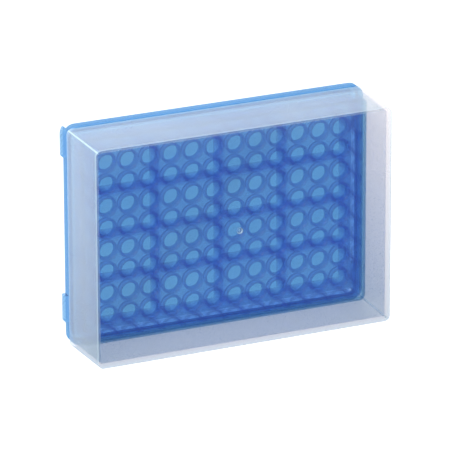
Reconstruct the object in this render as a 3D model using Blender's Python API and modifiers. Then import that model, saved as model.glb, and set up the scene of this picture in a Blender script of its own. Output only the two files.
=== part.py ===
"""Storage box for small tubes: a base tray, a drop-in rack with 12 x 8 sockets, and a lift-off lid.

Metres, +Z up. The origin is the centre of the box on the plane that its stacking tabs stand on.
+X runs along the long side.
"""

import bmesh
import bpy
from mathutils import Matrix

GAP = 0.0003  # left between pieces that touch

# Socket grid
COLUMNS, ROWS = 12, 8
PITCH = 0.009
CELL_COLUMNS, CELL_ROWS = 3, 2  # sockets in one ribbed cell
SOCKET_RADIUS = 0.0033
COLLAR_RADIUS = 0.00405
SOCKET_SIDES = 14

# Heights above the resting plane
TRAY_BOTTOM = 0.0035
FLOOR_TOP = 0.0050
LEDGE_TOP = 0.0080
LID_RIM = LEDGE_TOP + GAP
COLLAR_BOTTOM = 0.0122
DECK_TOP = 0.0157
LID_TOP = LID_RIM + 0.0270
DECK_THICKNESS = 0.0013

# Plan sizes, along X and Y
LIP_SIZE = (0.1254, 0.0902)
UPSTAND_SIZE = (0.1210, 0.0850)
LID_RIM_SIZE = (0.1262, 0.0899)
LID_TOP_SIZE = (0.1240, 0.0890)

# Wall thicknesses
TRAY_WALL = 0.0016
LIP_WALL = 0.0015
RACK_WALL = 0.0012
LID_WALL = 0.0016

# Corner radii, seen from above
LIP_CORNER = 0.0045
UPSTAND_CORNER = 0.0025
LID_CORNER = 0.0022
RACK_CORNER = 0.0008
LID_EDGE = 0.0005
CORNER_SEGMENTS = 4

# Stacking tabs under the short sides: the span of each from the middle of its side. The first wraps a corner
# of the lip. The other short side has the same pair turned half round.
TAB_THICKNESS = 0.0015
TAB_SPANS = ((0.0317, 0.0434), (-0.0365, -0.0256))

PAST = 0.0010  # how far a cutter runs past the face that it opens


def clear_scene():
    for obj in list(bpy.data.objects):
        bpy.data.objects.remove(obj)


def collection(name):
    made = bpy.data.collections.new(name)
    bpy.context.scene.collection.children.link(made)
    return made


def material(name, colour, roughness, alpha=1.0):
    made = bpy.data.materials.new(name)
    made.use_nodes = True
    shader = made.node_tree.nodes["Principled BSDF"]
    shader.inputs["Base Color"].default_value = (*colour, 1.0)
    shader.inputs["Roughness"].default_value = roughness
    shader.inputs["Metallic"].default_value = 0.0
    shader.inputs["Alpha"].default_value = alpha
    return made


def grown(size, by):
    """A plan size with the same distance added outside each edge, or taken off if negative."""
    return size[0] + 2 * by, size[1] + 2 * by


def add_block(mesh, size, low, high, corner=0.0, top_size=None, centre=(0.0, 0.0)):
    """Adds a block to a bmesh: upright edges rounded to corner, the top scaled to top_size."""
    middle = Matrix.Translation((*centre, (low + high) / 2))
    scale = Matrix.Diagonal((*size, high - low, 1.0))
    verts = bmesh.ops.create_cube(mesh, size=1.0, matrix=middle @ scale)["verts"]
    top_size = top_size or size
    for v in verts:
        if v.co.z > middle.translation.z:
            v.co.x = centre[0] + (v.co.x - centre[0]) * top_size[0] / size[0]
            v.co.y = centre[1] + (v.co.y - centre[1]) * top_size[1] / size[1]
    if corner:
        uprights = {e for v in verts for e in v.link_edges if abs((e.verts[0].co - e.verts[1].co).z) > PAST}
        bmesh.ops.bevel(mesh, geom=list(uprights), offset=corner, segments=CORNER_SEGMENTS,
                        affect="EDGES", profile=0.5)


def solid(name, group, build, finish=None):
    """An object whose mesh is made by build(mesh). Without a finish it is a helper for a Boolean."""
    data = bpy.data.meshes.new(name)
    mesh = bmesh.new()
    build(mesh)
    mesh.to_mesh(data)
    mesh.free()
    obj = bpy.data.objects.new(name, data)
    group.objects.link(obj)
    if finish:
        data.materials.append(finish)
    else:
        obj.hide_render = True
        obj.display_type = "WIRE"
    return obj


def boolean(obj, operation, other):
    modifier = obj.modifiers.new(other.name, "BOOLEAN")
    modifier.operation = operation
    modifier.solver = "EXACT"
    modifier.object = other


def smooth(obj):
    obj.data.shade_smooth()
    obj.data.set_sharp_from_angle(angle=0.6)


def socket_centres():
    for column in range(COLUMNS):
        for row in range(ROWS):
            yield (column - (COLUMNS - 1) / 2) * PITCH, (row - (ROWS - 1) / 2) * PITCH


def add_socket_posts(mesh, radius, low, high):
    """One upright cylinder at each socket."""
    for x, y in socket_centres():
        bmesh.ops.create_cone(mesh, cap_ends=True, segments=SOCKET_SIDES, radius1=radius, radius2=radius,
                              depth=high - low, matrix=Matrix.Translation((x, y, (low + high) / 2)))


def make_base_tray(parts, helpers, finish):
    """Floor and upstand, with a ledge and a down-turned lip round them, and four stacking tabs."""
    tray = solid("base_tray", parts, lambda m: add_block(m, LIP_SIZE, TRAY_BOTTOM, LEDGE_TOP, LIP_CORNER), finish)
    under_ledge = solid("under_ledge", helpers, lambda m: add_block(
        m, grown(LIP_SIZE, -LIP_WALL), TRAY_BOTTOM - PAST, LEDGE_TOP - TRAY_WALL, LIP_CORNER - LIP_WALL))
    boolean(tray, "DIFFERENCE", under_ledge)
    upstand = solid("upstand", helpers, lambda m: add_block(
        m, UPSTAND_SIZE, TRAY_BOTTOM, DECK_TOP, UPSTAND_CORNER))
    boolean(tray, "UNION", upstand)
    well = solid("tray_well", helpers, lambda m: add_block(
        m, grown(UPSTAND_SIZE, -TRAY_WALL), FLOOR_TOP, DECK_TOP + PAST, UPSTAND_CORNER - TRAY_WALL))
    boolean(tray, "DIFFERENCE", well)

    def tab_blocks(mesh):
        for start, end in TAB_SPANS:
            for turn in (-1, 1):
                centre = turn * (LIP_SIZE[0] - TAB_THICKNESS) / 2, -turn * (start + end) / 2
                add_block(mesh, (TAB_THICKNESS, end - start), 0.0, TRAY_BOTTOM + PAST, centre=centre)

    tabs = solid("stacking_tabs", helpers, tab_blocks)
    boolean(tabs, "INTERSECT", solid("lip_outline", helpers, lambda m: add_block(
        m, LIP_SIZE, -PAST, LEDGE_TOP, LIP_CORNER)))
    boolean(tray, "UNION", tabs)
    smooth(tray)


def make_tube_rack(parts, helpers, finish):
    """Deck with collared sockets, on a skirt and a grid of ribs that stand on the tray's floor."""
    size = grown(UPSTAND_SIZE, -TRAY_WALL - GAP)
    foot = FLOOR_TOP + GAP
    cell = CELL_COLUMNS * PITCH, CELL_ROWS * PITCH
    cells_along, cells_across = COLUMNS // CELL_COLUMNS, ROWS // CELL_ROWS
    grid = cells_along * cell[0], cells_across * cell[1]
    rack = solid("tube_rack", parts, lambda m: add_block(m, size, foot, DECK_TOP, RACK_CORNER), finish)

    def hollows(mesh):
        for i in range(cells_along):
            for j in range(cells_across):
                centre = (i + 0.5) * cell[0] - grid[0] / 2, (j + 0.5) * cell[1] - grid[1] / 2
                add_block(mesh, grown(cell, -RACK_WALL / 2), foot - PAST, DECK_TOP - DECK_THICKNESS,
                          centre=centre)

    boolean(rack, "DIFFERENCE", solid("cell_hollows", helpers, hollows))
    margin = solid("margin_channel", helpers, lambda m: add_block(
        m, grown(size, -RACK_WALL), foot - PAST, DECK_TOP - DECK_THICKNESS))
    boolean(margin, "DIFFERENCE", solid("margin_core", helpers, lambda m: add_block(
        m, grown(grid, RACK_WALL / 2), foot - 2 * PAST, DECK_TOP)))
    boolean(rack, "DIFFERENCE", margin)
    boolean(rack, "UNION", solid("socket_collars", helpers, lambda m: add_socket_posts(
        m, COLLAR_RADIUS, COLLAR_BOTTOM, DECK_TOP - DECK_THICKNESS / 2)))
    boolean(rack, "DIFFERENCE", solid("socket_bores", helpers, lambda m: add_socket_posts(
        m, SOCKET_RADIUS, COLLAR_BOTTOM - PAST, DECK_TOP + PAST)))
    smooth(rack)


def make_lid(parts, finish):
    """Deep cover with drafted walls: an open surface, thickened inwards."""

    def skin(mesh):
        add_block(mesh, LID_RIM_SIZE, LID_RIM, LID_TOP, LID_CORNER, top_size=LID_TOP_SIZE)
        mouth = [f for f in mesh.faces if f.normal.z < -0.9]
        bmesh.ops.delete(mesh, geom=mouth, context="FACES_ONLY")

    lid = solid("lid", parts, skin, finish)
    shell = lid.modifiers.new("wall", "SOLIDIFY")
    shell.thickness = LID_WALL
    shell.offset = -1.0
    shell.use_even_offset = True
    edges = lid.modifiers.new("edges", "BEVEL")
    edges.width = LID_EDGE
    edges.segments = 1
    edges.limit_method = "ANGLE"
    edges.angle_limit = 1.0
    smooth(lid)


def main():
    clear_scene()
    parts = collection("tube_storage_box")
    helpers = collection("cutters")
    blue = material("blue_polypropylene", (0.06, 0.27, 0.68), 0.35)
    frosted = material("frosted_polypropylene", (0.82, 0.84, 0.92), 0.45, alpha=0.35)
    make_base_tray(parts, helpers, blue)
    make_tube_rack(parts, helpers, blue)
    make_lid(parts, frosted)


main()
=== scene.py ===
"""Looks of the tube storage box: frosted lid, blue socket rack and blue tray, on a bright floor.

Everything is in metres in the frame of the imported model. Outer sizes come from the boxes of its three nodes.
"""

from math import radians

import bmesh
import bpy
from mathutils import Matrix, Vector


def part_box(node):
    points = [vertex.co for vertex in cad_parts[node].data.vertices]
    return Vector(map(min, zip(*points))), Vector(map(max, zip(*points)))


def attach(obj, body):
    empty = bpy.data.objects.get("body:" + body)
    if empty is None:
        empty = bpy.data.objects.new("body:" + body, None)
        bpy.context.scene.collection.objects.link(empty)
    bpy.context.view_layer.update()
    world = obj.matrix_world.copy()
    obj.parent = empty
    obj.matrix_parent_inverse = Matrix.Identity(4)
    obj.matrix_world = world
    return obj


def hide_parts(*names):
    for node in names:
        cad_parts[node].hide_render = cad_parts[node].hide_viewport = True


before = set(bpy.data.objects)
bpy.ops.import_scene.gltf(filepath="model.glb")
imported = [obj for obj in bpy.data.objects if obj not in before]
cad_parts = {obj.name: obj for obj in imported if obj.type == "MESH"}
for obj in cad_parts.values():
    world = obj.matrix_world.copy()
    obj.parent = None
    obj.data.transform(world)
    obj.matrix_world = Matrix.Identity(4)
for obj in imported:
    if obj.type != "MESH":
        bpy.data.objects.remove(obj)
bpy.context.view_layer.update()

TRAY_LOW, TRAY_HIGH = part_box("base_tray")
RACK_LOW, RACK_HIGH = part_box("tube_rack")
LID_LOW, LID_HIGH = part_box("lid")

# Socket grid
COLUMNS, ROWS = 12, 8
PITCH = 0.009
CELL_COLUMNS, CELL_ROWS = 3, 2  # sockets in one ribbed cell
SOCKET_RADIUS = 0.0033
COLLAR_RADIUS = 0.00405
COLLAR_DEPTH = 0.0031
COLLAR_DRAFT = 0.00025
MOUTH_CHAMFER = 0.00025
SOCKET_SIDES = 40

# Heights
TRAY_BOTTOM = TRAY_LOW.z + 0.0035
FLOOR_TOP = TRAY_BOTTOM + 0.0015
LEDGE_TOP = TRAY_BOTTOM + 0.0045
DECK_THICKNESS = 0.0013

# Plan sizes, along X and Y
LIP_SIZE = (TRAY_HIGH.x - TRAY_LOW.x, TRAY_HIGH.y - TRAY_LOW.y)
UPSTAND_SIZE = (0.1210, 0.0850)
RACK_SIZE = (RACK_HIGH.x - RACK_LOW.x, RACK_HIGH.y - RACK_LOW.y)
LID_RIM_SIZE = (LID_HIGH.x - LID_LOW.x, LID_HIGH.y - LID_LOW.y)
LID_TOP_SIZE = (0.1240, 0.0890)

# Wall thicknesses, corner radii seen from above, and the widths of rounded edges
TRAY_WALL, LIP_WALL, RACK_WALL, LID_WALL = 0.0016, 0.0015, 0.0012, 0.0016
LIP_CORNER, UPSTAND_CORNER, LID_CORNER, RACK_CORNER = 0.0045, 0.0025, 0.0022, 0.0008
TRAY_EDGE, LID_EDGE = 0.00025, 0.0008
CORNER_SEGMENTS, EDGE_SEGMENTS = 10, 3
CORNER_PROFILE = 0.5  # a quarter circle
SHARP_EDGE, SMOOTH_UP_TO = 0.7, 0.6  # radians between two faces

# Stacking tabs: the span of each from the middle of its short side
TAB_THICKNESS = 0.0015
TAB_SPANS = ((0.0317, 0.0434), (-0.0365, -0.0256))

PAST = 0.0010  # how far a cutter runs past the face that it opens
UPRIGHT_RISE = 0.0010  # an edge that rises by more than this is an upright one

# Gate mark, where the lid's plastic was fed in: a dimple with a stub in it, as rings of
# (radius, height from the lid's top), bottom to top
GATE_PLACE = (-0.0025, 0.0033)
DIMPLE_RINGS = ((0.00091, -0.0007), (0.0013, -0.0007 / 3), (0.0013, PAST))
STUB_RINGS = ((0.00052, -0.00095), (0.000455, -0.00035), (0.00026, -0.000175))

# Slow, stretched noise: how a moulding's plastic varies from place to place
FLOW_SCALE, FLOW_DETAIL, FLOW_STRETCH = 30.0, 3.0, (1.0, 1.6, 0.7)
HAZE_SWING, EDGE_SWING, GLOSS_SWING = 0.1, 0.05, 0.05
# Fine noise: the grain of the mould's surface
GRAIN_SCALE, GRAIN_DETAIL, GRAIN_STRENGTH, GRAIN_HEIGHT = 2600.0, 2.0, 0.2, 0.00006
MIDDLE = (0.3, 0.7)  # the part of a noise's range that is used

# Bands over which a look changes. The first four are sizes of the upright part of a surface's direction,
# which is 0 on an upright face and 1 on a level one; the fifth is the largest of its three parts.
TURN_LEVEL = (0.3, 0.8)
TINT_LEVEL = (0.5, 0.9)
BRIM_START, BRIM_END = (0.1, 0.3), (0.95, 0.995)
ON_FACE = (0.72, 0.86)
BRIM_HEIGHTS = (LID_HIGH.z - 0.0012, LID_HIGH.z - 0.0009)
RING_START = (SOCKET_RADIUS - 0.0002, SOCKET_RADIUS + 0.0002)
RING_END = (COLLAR_RADIUS, COLLAR_RADIUS + 0.0005)
RIM_INSET = 0.0002
RIM_HEIGHTS = (LEDGE_TOP + 0.0002, LEDGE_TOP + 0.0005)

REFRACTIVE_INDEX = 1.49
WHITE = (1.0, 1.0, 1.0)
MOST_CLEAR_LAYERS = 24  # see-through surfaces that one ray may cross

# The main view: the box is turned by these angles before a camera that looks along -Z
YAW, PITCH_ANGLE, ROLL = radians(23.81), radians(20.78), radians(0.14)
CAMERA_DISTANCE = 1.852
CAMERA_OFFSET = (0.0081, -0.0050)
LENS, SENSOR_WIDTH = 384.0, 36.0  # mm
CLIP_START, CLIP_END = 0.01, 50.0

FLOOR_SIZE = 30.0
FLOOR_SHADE, FLOOR_GLOW = 0.9, 0.95


# ---------------------------------------------------------------- mesh helpers

def grown(size, by):
    """A plan size with the same distance added outside each edge, or taken off if negative."""
    return size[0] + 2 * by, size[1] + 2 * by


def add_block(mesh, size, low, high, corner=0.0, top_size=None, centre=(0.0, 0.0)):
    """A block with its upright edges rounded to corner and its top scaled to top_size."""
    middle = Matrix.Translation((*centre, (low + high) / 2))
    scale = Matrix.Diagonal((*size, high - low, 1.0))
    verts = bmesh.ops.create_cube(mesh, size=1.0, matrix=middle @ scale)["verts"]
    top_size = top_size or size
    for v in verts:
        if v.co.z > middle.translation.z:
            v.co.x = centre[0] + (v.co.x - centre[0]) * top_size[0] / size[0]
            v.co.y = centre[1] + (v.co.y - centre[1]) * top_size[1] / size[1]
    if corner:
        uprights = {e for v in verts for e in v.link_edges
                    if abs((e.verts[0].co - e.verts[1].co).z) > UPRIGHT_RISE}
        bmesh.ops.bevel(mesh, geom=list(uprights), offset=corner, segments=CORNER_SEGMENTS,
                        affect="EDGES", profile=CORNER_PROFILE)


def add_post(mesh, centre, rings):
    """A turned post at centre from (radius, height) rings, bottom to top."""
    loops = []
    for radius, height in rings:
        made = bmesh.ops.create_circle(mesh, cap_ends=False, segments=SOCKET_SIDES, radius=radius,
                                       matrix=Matrix.Translation((*centre, height)))["verts"]
        loops.append(made)
    for lower, upper in zip(loops, loops[1:]):
        for i in range(SOCKET_SIDES):
            j = (i + 1) % SOCKET_SIDES
            mesh.faces.new((lower[i], lower[j], upper[j], upper[i]))
    mesh.faces.new(list(reversed(loops[0])))
    mesh.faces.new(loops[-1])


def add_socket_posts(mesh, rings):
    """The same post at every socket."""
    for column in range(COLUMNS):
        for row in range(ROWS):
            centre = (column - (COLUMNS - 1) / 2) * PITCH, (row - (ROWS - 1) / 2) * PITCH
            add_post(mesh, centre, rings)


def piece(name, build):
    """A new object whose mesh is made by build(mesh)."""
    data = bpy.data.meshes.new(name)
    mesh = bmesh.new()
    build(mesh)
    bmesh.ops.recalc_face_normals(mesh, faces=mesh.faces)
    mesh.to_mesh(data)
    mesh.free()
    obj = bpy.data.objects.new(name, data)
    bpy.context.scene.collection.objects.link(obj)
    return obj


def apply_modifiers(obj):
    graph = bpy.context.evaluated_depsgraph_get()
    done = bpy.data.meshes.new_from_object(obj.evaluated_get(graph))
    obj.modifiers.clear()
    obj.data = done


def boolean(obj, operation, build):
    """Joins or cuts obj with a helper mesh, made by build(mesh), and applies the result at once."""
    helper = piece("helper", build)
    modifier = obj.modifiers.new("cut", "BOOLEAN")
    modifier.operation = operation
    modifier.solver = "MANIFOLD"
    modifier.object = helper
    apply_modifiers(obj)
    bpy.data.objects.remove(helper)


def rounded(obj, width):
    """Rounds every sharp edge a little, as a mould does."""
    modifier = obj.modifiers.new("rounded", "BEVEL")
    modifier.width = width
    modifier.segments = EDGE_SEGMENTS
    modifier.limit_method = "ANGLE"
    modifier.angle_limit = SHARP_EDGE
    apply_modifiers(obj)


def finished(obj, finish):
    """Smooth shading, and one material."""
    obj.data.shade_smooth()
    obj.data.set_sharp_from_angle(angle=SMOOTH_UP_TO)
    obj.data.materials.clear()
    obj.data.materials.append(finish)


# ---------------------------------------------------------------- materials

class Nodes:
    """Short calls for building a node tree."""

    def __init__(self, name):
        self.material = bpy.data.materials.new(name)
        self.material.use_nodes = True
        self.tree = self.material.node_tree
        self.tree.nodes.clear()

    def add(self, kind, values=(), **settings):
        node = self.tree.nodes.new(kind)
        for key, value in settings.items():
            setattr(node, key, value)
        for key, value in dict(values).items():
            node.inputs[key].default_value = value
        return node

    def link(self, source, target):
        self.tree.links.new(source, target)

    def math(self, operation, a, b=None):
        node = self.add("ShaderNodeMath", operation=operation)
        for socket, value in zip(node.inputs, (a, b)):
            if value is None:
                continue
            if isinstance(value, (int, float)):
                socket.default_value = value
            else:
                self.link(value, socket)
        return node.outputs[0]

    def place(self, kind):
        """A point's place ("Object") or its surface's direction ("Normal"), along the object's own axes."""
        return self.add("ShaderNodeTexCoord").outputs[kind]

    def parts(self, vector):
        node = self.add("ShaderNodeSeparateXYZ")
        self.link(vector, node.inputs[0])
        return list(node.outputs)

    def sizes(self, vector):
        """The sizes of a vector's three parts, without their signs."""
        return [self.math("ABSOLUTE", part) for part in self.parts(vector)]

    def noise(self, scale, detail, stretch=None):
        place = self.place("Object")
        if stretch:
            mapping = self.add("ShaderNodeMapping", {"Scale": stretch})
            self.link(place, mapping.inputs["Vector"])
            place = mapping.outputs["Vector"]
        node = self.add("ShaderNodeTexNoise", {"Scale": scale, "Detail": detail})
        self.link(place, node.inputs["Vector"])
        return node.outputs["Fac"]

    def ramp(self, factor, low, high, band):
        """Colour low before a band of factor's values, high after it, and a slope between."""
        node = self.add("ShaderNodeValToRGB")
        first, last = node.color_ramp.elements
        first.position, last.position = band
        first.color, last.color = (*low, 1.0), (*high, 1.0)
        self.link(factor, node.inputs["Fac"])
        return node.outputs["Color"]

    def spread(self, factor, low, high, band):
        """The same for two numbers."""
        node = self.add("ShaderNodeMapRange", {"From Min": band[0], "From Max": band[1],
                                               "To Min": low, "To Max": high})
        self.link(factor, node.inputs["Value"])
        return node.outputs["Result"]

    def rise(self, factor, band):
        return self.spread(factor, 0.0, 1.0, band)

    def fall(self, factor, band):
        return self.spread(factor, 1.0, 0.0, band)

    def vary(self, flow, amount, swing):
        """An amount that goes up and down with the flow by a share of itself."""
        return self.spread(flow, amount * (1.0 - swing), amount * (1.0 + swing), MIDDLE)

    def blend(self, factor, a, b):
        node = self.add("ShaderNodeMix", data_type="FLOAT")
        for socket, value in zip((node.inputs[0], node.inputs[2], node.inputs[3]), (factor, a, b)):
            self.link(value, socket)
        return node.outputs[0]

    def tinted(self, factor, a, b):
        """Colour a where factor is 0 and the fixed colour b where it is 1."""
        node = self.add("ShaderNodeMix", data_type="RGBA")
        self.link(factor, node.inputs[0])
        self.link(a, node.inputs[6])
        node.inputs[7].default_value = (*b, 1.0)
        return node.outputs[2]

    def mix(self, factor, a, b):
        """Shader a where factor is 0 and shader b where it is 1."""
        node = self.add("ShaderNodeMixShader")
        if isinstance(factor, float):
            node.inputs["Fac"].default_value = factor
        else:
            self.link(factor, node.inputs["Fac"])
        self.link(a.outputs[0], node.inputs[1])
        self.link(b.outputs[0], node.inputs[2])
        return node

    def output(self, surface, volume=None):
        node = self.add("ShaderNodeOutputMaterial")
        self.link(surface.outputs[0], node.inputs["Surface"])
        if volume:
            self.link(volume.outputs[0], node.inputs["Volume"])
        return self.material


def from_socket(n):
    """How far a point is, seen from above, from the centre of the nearest socket."""
    squares = []
    for part in n.parts(n.place("Object"))[:2]:
        beside = n.math("SUBTRACT", n.math("FLOORED_MODULO", part, PITCH), PITCH / 2)
        squares.append(n.math("MULTIPLY", beside, beside))
    return n.math("SQRT", n.math("ADD", *squares))


def haze_share(n, flow, haze, side_haze, edge_haze, ring_haze):
    """The share of light that scatters at a surface."""
    along_x, along_y, along_z = n.sizes(n.place("Normal"))
    height = n.sizes(n.place("Object"))[2]
    amount = n.blend(n.rise(along_z, TURN_LEVEL), n.vary(flow, side_haze, HAZE_SWING),
                     n.vary(flow, haze, HAZE_SWING))
    corner = n.fall(n.math("MAXIMUM", n.math("MAXIMUM", along_x, along_y), along_z), ON_FACE)
    brim = n.math("MULTIPLY", n.rise(along_z, BRIM_START), n.fall(along_z, BRIM_END))
    brim = n.math("MULTIPLY", brim, n.rise(height, BRIM_HEIGHTS))
    edges = n.spread(flow, edge_haze * (1.0 - EDGE_SWING), edge_haze, MIDDLE)
    amount = n.blend(n.math("MAXIMUM", corner, brim), amount, edges)
    if ring_haze:
        away = from_socket(n)
        ring = n.math("MULTIPLY", n.rise(away, RING_START), n.fall(away, RING_END))
        amount = n.math("ADD", amount, n.math("MULTIPLY", ring, ring_haze))
    return amount


def let_through(n, level_tint, rim_tint, painted_shade_tint):
    """The colour that a surface lets through; with a painted shade tint, the sides are also darkened towards -Y
    as painted shade.
    """
    place = n.place("Object")
    x, y, z = n.sizes(place)
    level = n.sizes(n.place("Normal"))[2]
    tint = n.ramp(level, WHITE, level_tint, TINT_LEVEL)
    if rim_tint:
        half_x, half_y = UPSTAND_SIZE[0] / 2, UPSTAND_SIZE[1] / 2
        beyond = n.math("MAXIMUM", n.rise(x, (half_x - RIM_INSET, half_x)),
                        n.rise(y, (half_y - RIM_INSET, half_y)))
        tint = n.tinted(n.math("MULTIPLY", beyond, n.fall(z, RIM_HEIGHTS)), tint, rim_tint)
    # Painted shade: darkens the sides towards -Y, fading out towards +Y, in place of the dimmer light that falls
    # at that end.
    if painted_shade_tint:
        along_y = n.fall(n.parts(place)[1], (LID_LOW.y, LID_HIGH.y))
        tint = n.tinted(n.math("MULTIPLY", along_y, n.fall(level, TURN_LEVEL)), tint, painted_shade_tint)
    return tint


def clear_plastic(name, scatter_low, scatter_high, absorb, haze, side_haze, edge_haze, most_gloss, roughness,
                  back_share=0.5, ring_haze=0.0, level_tint=WHITE, rim_tint=None, painted_shade_tint=None):
    """Moulded polypropylene: light goes straight through, is absorbed on the way, and some scatters at each
    surface.

    scatter_low and scatter_high are the range of the scattered light's colour, and back_share is how much of it
    leaves on the far side. absorb is the loss per metre of red, green and blue. haze is how much scatters at a
    level surface, side_haze at an upright one, edge_haze at a rounded edge, and ring_haze is what is added round
    each socket, where the plastic is thick. The tints are the share that a surface lets through: level_tint at a
    level face, rim_tint at the tray's ledge and lip, and the painted shade tint at the -Y end of the sides,
    where it fades out towards +Y. That last tint is painted shade: it darkens the lid's sides towards -Y in
    place of the dimmer light at that end. most_gloss caps the mirror share of a grazed wall.
    """
    n = Nodes(name)
    flow = n.noise(FLOW_SCALE, FLOW_DETAIL, FLOW_STRETCH)
    fine = n.noise(GRAIN_SCALE, GRAIN_DETAIL)
    grain = n.add("ShaderNodeBump", {"Strength": GRAIN_STRENGTH, "Distance": GRAIN_HEIGHT})
    n.link(fine, grain.inputs["Height"])
    normal = grain.outputs["Normal"]

    colour = n.ramp(flow, scatter_low, scatter_high, MIDDLE)
    body = n.add("ShaderNodeBsdfDiffuse")
    n.link(colour, body.inputs["Color"])
    behind = n.add("ShaderNodeBsdfTranslucent")
    n.link(colour, behind.inputs["Color"])
    scatter = n.mix(back_share, body, behind)

    clear = n.add("ShaderNodeBsdfTransparent")
    n.link(let_through(n, level_tint, rim_tint, painted_shade_tint), clear.inputs["Color"])
    through = n.mix(haze_share(n, flow, haze, side_haze, edge_haze, ring_haze), clear, scatter)

    gloss = n.add("ShaderNodeBsdfGlossy", {"Color": (*WHITE, 1.0)})
    n.link(n.spread(fine, roughness - GLOSS_SWING, roughness + GLOSS_SWING, MIDDLE), gloss.inputs["Roughness"])
    n.link(normal, gloss.inputs["Normal"])
    mirror = n.add("ShaderNodeFresnel", {"IOR": REFRACTIVE_INDEX})
    n.link(normal, mirror.inputs["Normal"])
    outside = n.math("SUBTRACT", 1.0, n.add("ShaderNodeNewGeometry").outputs["Backfacing"])
    share = n.math("MINIMUM", n.math("MULTIPLY", mirror.outputs[0], outside), most_gloss)

    most = max(absorb)
    inside = n.add("ShaderNodeVolumeAbsorption", {
        "Color": (*(1.0 - a / most for a in absorb), 1.0), "Density": most})
    return n.output(n.mix(share, through, gloss), inside)


# ---------------------------------------------------------------- pieces

def make_tray(finish):
    """Floor and upstand, with a ledge and a down-turned lip round them, and four stacking tabs."""
    tray = piece("tray_moulding", lambda m: add_block(m, LIP_SIZE, TRAY_BOTTOM, LEDGE_TOP, LIP_CORNER))
    boolean(tray, "DIFFERENCE", lambda m: add_block(
        m, grown(LIP_SIZE, -LIP_WALL), TRAY_BOTTOM - PAST, LEDGE_TOP - TRAY_WALL, LIP_CORNER - LIP_WALL))
    boolean(tray, "UNION", lambda m: add_block(m, UPSTAND_SIZE, TRAY_BOTTOM, TRAY_HIGH.z, UPSTAND_CORNER))
    boolean(tray, "DIFFERENCE", lambda m: add_block(
        m, grown(UPSTAND_SIZE, -TRAY_WALL), FLOOR_TOP, TRAY_HIGH.z + PAST, UPSTAND_CORNER - TRAY_WALL))

    def tabs(mesh):
        for start, end in TAB_SPANS:
            for turn in (-1, 1):
                centre = turn * (LIP_SIZE[0] - TAB_THICKNESS) / 2, -turn * (start + end) / 2
                add_block(mesh, (TAB_THICKNESS, end - start), TRAY_LOW.z, TRAY_BOTTOM + PAST, centre=centre)

    feet = piece("feet", tabs)
    boolean(feet, "INTERSECT", lambda m: add_block(m, LIP_SIZE, TRAY_LOW.z - PAST, LEDGE_TOP, LIP_CORNER))
    boolean(tray, "UNION", lambda m: m.from_mesh(feet.data))
    bpy.data.objects.remove(feet)
    rounded(tray, TRAY_EDGE)
    finished(tray, finish)
    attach(tray, "tray")
    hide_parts("base_tray")


def make_rack(finish):
    """Deck with collared sockets, on a skirt and a grid of ribs that stand on the tray's floor."""
    foot, top = RACK_LOW.z, RACK_HIGH.z
    cell = CELL_COLUMNS * PITCH, CELL_ROWS * PITCH
    across, up = COLUMNS // CELL_COLUMNS, ROWS // CELL_ROWS
    grid = across * cell[0], up * cell[1]
    rack = piece("rack_moulding", lambda m: add_block(m, RACK_SIZE, foot, top, RACK_CORNER))

    def hollows(mesh):
        for i in range(across):
            for j in range(up):
                centre = (i + 0.5) * cell[0] - grid[0] / 2, (j + 0.5) * cell[1] - grid[1] / 2
                add_block(mesh, grown(cell, -RACK_WALL / 2), foot - PAST, top - DECK_THICKNESS, centre=centre)

    boolean(rack, "DIFFERENCE", hollows)
    channel = piece("channel", lambda m: add_block(
        m, grown(RACK_SIZE, -RACK_WALL), foot - PAST, top - DECK_THICKNESS))
    boolean(channel, "DIFFERENCE", lambda m: add_block(m, grown(grid, RACK_WALL / 2), foot - 2 * PAST, top))
    boolean(rack, "DIFFERENCE", lambda m: m.from_mesh(channel.data))
    bpy.data.objects.remove(channel)

    boolean(rack, "UNION", lambda m: add_socket_posts(m, (
        (COLLAR_RADIUS - COLLAR_DRAFT, top - COLLAR_DEPTH),
        (COLLAR_RADIUS + COLLAR_DRAFT, top - DECK_THICKNESS),
        (COLLAR_RADIUS + COLLAR_DRAFT, top - DECK_THICKNESS / 2))))
    boolean(rack, "DIFFERENCE", lambda m: add_socket_posts(m, (
        (SOCKET_RADIUS, top - COLLAR_DEPTH - PAST),
        (SOCKET_RADIUS, top - MOUTH_CHAMFER),
        (SOCKET_RADIUS + MOUTH_CHAMFER, top),
        (SOCKET_RADIUS + MOUTH_CHAMFER, top + PAST))))
    finished(rack, finish)
    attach(rack, "rack")
    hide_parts("tube_rack")


def make_lid(finish):
    """Deep cover with drafted walls and a gate mark on its top."""
    low, high = LID_LOW.z, LID_HIGH.z
    lid = piece("lid_moulding", lambda m: add_block(m, LID_RIM_SIZE, low, high, LID_CORNER, LID_TOP_SIZE))
    draft = [(a - b) / (high - low) for a, b in zip(LID_RIM_SIZE, LID_TOP_SIZE)]
    rim_size = [s - 2 * LID_WALL + d * PAST for s, d in zip(LID_RIM_SIZE, draft)]
    top_size = [s - 2 * LID_WALL + d * LID_WALL for s, d in zip(LID_TOP_SIZE, draft)]
    boolean(lid, "DIFFERENCE", lambda m: add_block(
        m, rim_size, low - PAST, high - LID_WALL, LID_CORNER - LID_WALL, top_size))
    rounded(lid, LID_EDGE)
    for operation, rings in (("DIFFERENCE", DIMPLE_RINGS), ("UNION", STUB_RINGS)):
        placed = [(radius, high + height) for radius, height in rings]
        boolean(lid, operation, lambda m: add_post(m, GATE_PLACE, placed))
    finished(lid, finish)
    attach(lid, "lid")
    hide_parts("lid")


# ---------------------------------------------------------------- stage

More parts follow.
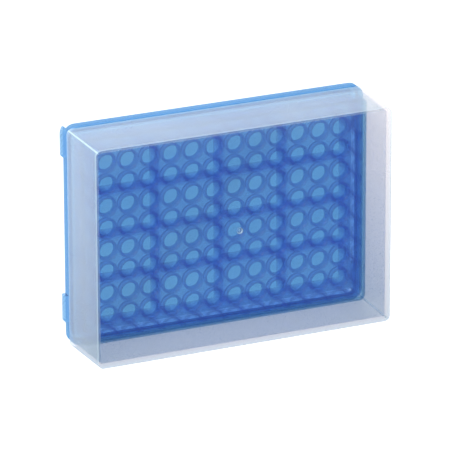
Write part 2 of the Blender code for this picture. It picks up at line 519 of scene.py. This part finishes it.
def make_floor():
    """A pale floor that glows a little, as a light table does. From below it can be seen through."""
    bpy.ops.mesh.primitive_plane_add(size=FLOOR_SIZE)
    floor = bpy.context.object
    floor.name = "floor"
    n = Nodes("bright_floor")
    paper = n.add("ShaderNodeBsdfDiffuse", {"Color": (FLOOR_SHADE, FLOOR_SHADE, FLOOR_SHADE, 1.0)})
    glow = n.add("ShaderNodeEmission", {"Color": (*WHITE, 1.0), "Strength": FLOOR_GLOW})
    lit = n.add("ShaderNodeAddShader")
    n.link(paper.outputs[0], lit.inputs[0])
    n.link(glow.outputs[0], lit.inputs[1])
    below = n.add("ShaderNodeNewGeometry").outputs["Backfacing"]
    floor.data.materials.append(n.output(n.mix(below, lit, n.add("ShaderNodeBsdfTransparent"))))


def make_world(colour, strength):
    world = bpy.data.worlds.new("studio")
    world.use_nodes = True
    shade = world.node_tree.nodes["Background"]
    shade.inputs["Color"].default_value = (*colour, 1.0)
    shade.inputs["Strength"].default_value = strength
    bpy.context.scene.world = world


def make_lamp(name, turn, towards, distance, size, watts, colour):
    """A soft square lamp. towards is in the camera's own directions: right, up, to the camera."""
    data = bpy.data.lights.new(name, "AREA")
    data.shape, data.size, data.energy, data.color = "SQUARE", size, watts, colour
    lamp = bpy.data.objects.new(name, data)
    bpy.context.scene.collection.objects.link(lamp)
    way = (turn @ Vector(towards)).normalized()
    lamp.location = Vector((0, 0, LID_HIGH.z)) + way * distance
    lamp.rotation_euler = way.to_track_quat("Z", "Y").to_euler()


def make_camera():
    """The camera of the main view. Returns its turn, from its own directions to the scene's."""
    turn = (Matrix.Rotation(ROLL, 3, "Z") @ Matrix.Rotation(PITCH_ANGLE, 3, "X")
            @ Matrix.Rotation(YAW, 3, "Y")).transposed()
    data = bpy.data.cameras.new("camera")
    data.lens, data.sensor_width = LENS, SENSOR_WIDTH
    data.clip_start, data.clip_end = CLIP_START, CLIP_END
    camera = bpy.data.objects.new("camera", data)
    bpy.context.scene.collection.objects.link(camera)
    place = turn @ Vector((-CAMERA_OFFSET[0], -CAMERA_OFFSET[1], CAMERA_DISTANCE))
    camera.matrix_world = Matrix.Translation(place + Vector((0, 0, LID_HIGH.z))) @ turn.to_4x4()
    bpy.context.scene.camera = camera
    return turn


def main():
    turn = make_camera()
    make_tray(clear_plastic(
        "blue_tray_plastic", scatter_low=(0.020, 0.23, 0.58), scatter_high=(0.028, 0.27, 0.63),
        absorb=(220.0, 80.0, 20.0), haze=0.30, side_haze=0.11, edge_haze=0.30, most_gloss=0.07,
        roughness=0.35, level_tint=(0.52, 0.77, 0.875), rim_tint=(0.50, 0.70, 0.83)))
    make_rack(clear_plastic(
        "blue_rack_plastic", scatter_low=(0.012, 0.12, 0.74), scatter_high=(0.016, 0.15, 0.80),
        absorb=(125.0, 78.0, 6.0), haze=0.06, side_haze=0.10, edge_haze=0.10, most_gloss=0.07,
        roughness=0.35, ring_haze=0.20))
    # The lid's tint at the -Y end of its sides is painted shade, standing in for the dimmer light at that end.
    make_lid(clear_plastic(
        "frosted_lid_plastic", scatter_low=(0.69, 0.91, 0.97), scatter_high=(0.73, 0.94, 0.99),
        absorb=(2.0, 20.0, 22.0), haze=0.010, side_haze=0.26, edge_haze=0.92, most_gloss=0.14,
        roughness=0.30, back_share=0.3, painted_shade_tint=(0.66, 0.73, 0.81)))
    make_floor()
    make_world(colour=(0.90, 0.93, 1.0), strength=0.30)
    make_lamp("key", turn, towards=(-0.83, 0.72, 0.35), distance=1.2, size=0.7, watts=19.0,
              colour=(1.0, 1.0, 0.99))
    make_lamp("front", turn, towards=(-0.45, 0.5, 0.8), distance=1.3, size=0.5, watts=9.0,
              colour=(1.0, 0.98, 0.98))
    scene = bpy.context.scene
    scene.view_settings.view_transform = "Standard"
    scene.cycles.transparent_max_bounces = MOST_CLEAR_LAYERS


main()
